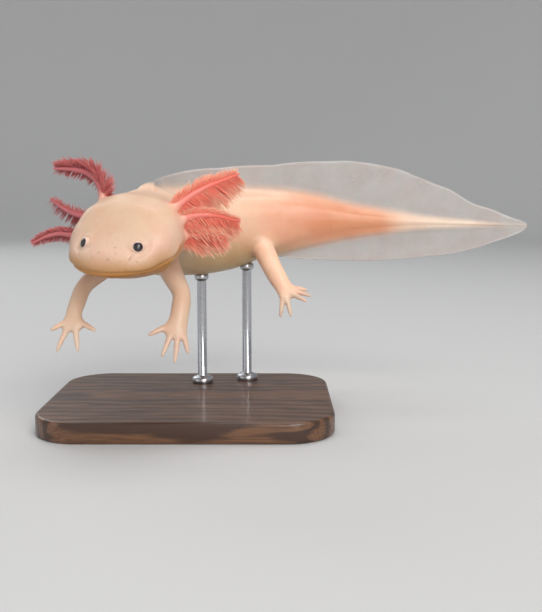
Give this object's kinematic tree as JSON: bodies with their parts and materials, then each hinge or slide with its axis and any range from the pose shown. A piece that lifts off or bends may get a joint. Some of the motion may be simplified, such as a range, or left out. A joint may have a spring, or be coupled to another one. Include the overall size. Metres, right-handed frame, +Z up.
{
  "type": "axolotl model on a display stand",
  "caption": "Life-size pale axolotl in a swimming pose, with feathery gills, a high tail fin and dangling legs, held over a flat base by slim rods.",
  "frame": {"origin": "centre of the stand's underside, on the surface that it stands on", "axes": "+Z up; +X the way that the tail trails; the head looks towards -Y and a little towards -X"},
  "size_m": [0.1992, 0.1359, 0.1031],
  "materials": {
    "skin": "smooth damp skin, satin",
    "gill": "soft filaments, satin",
    "fin": "thin translucent skin, satin",
    "eye": "wet gloss",
    "stand_wood": "dark stain, satin varnish",
    "stand_steel": "fine brushed"
  },
  "bodies": {
    "root": {"head": "skin", "lower_jaw": "skin", "eye_left": "eye", "eye_right": "eye", "neck": "skin", "trunk_front": "skin", "trunk_rear": "skin", "tail_front": "skin", "tail_rear": "skin", "dorsal_fin": "fin", "tail_fin_upper": "fin", "tail_fin_lower": "fin", "gill_left_upper": "gill", "gill_left_middle": "gill", "gill_left_lower": "gill", "gill_right_upper": "gill", "gill_right_middle": "gill", "gill_right_lower": "gill", "foreleg_left_upper": "skin", "foreleg_left_lower": "skin", "foreleg_left_foot": "skin", "foreleg_right_upper": "skin", "foreleg_right_lower": "skin", "foreleg_right_foot": "skin", "hindleg_left_upper": "skin", "hindleg_left_lower": "skin", "hindleg_left_foot": "skin", "hindleg_right_upper": "skin", "hindleg_right_lower": "skin", "hindleg_right_foot": "skin", "stand_base": "stand_wood", "stand_rod_front": "stand_steel", "stand_rod_rear": "stand_steel"}
  },
  "joints": []
}
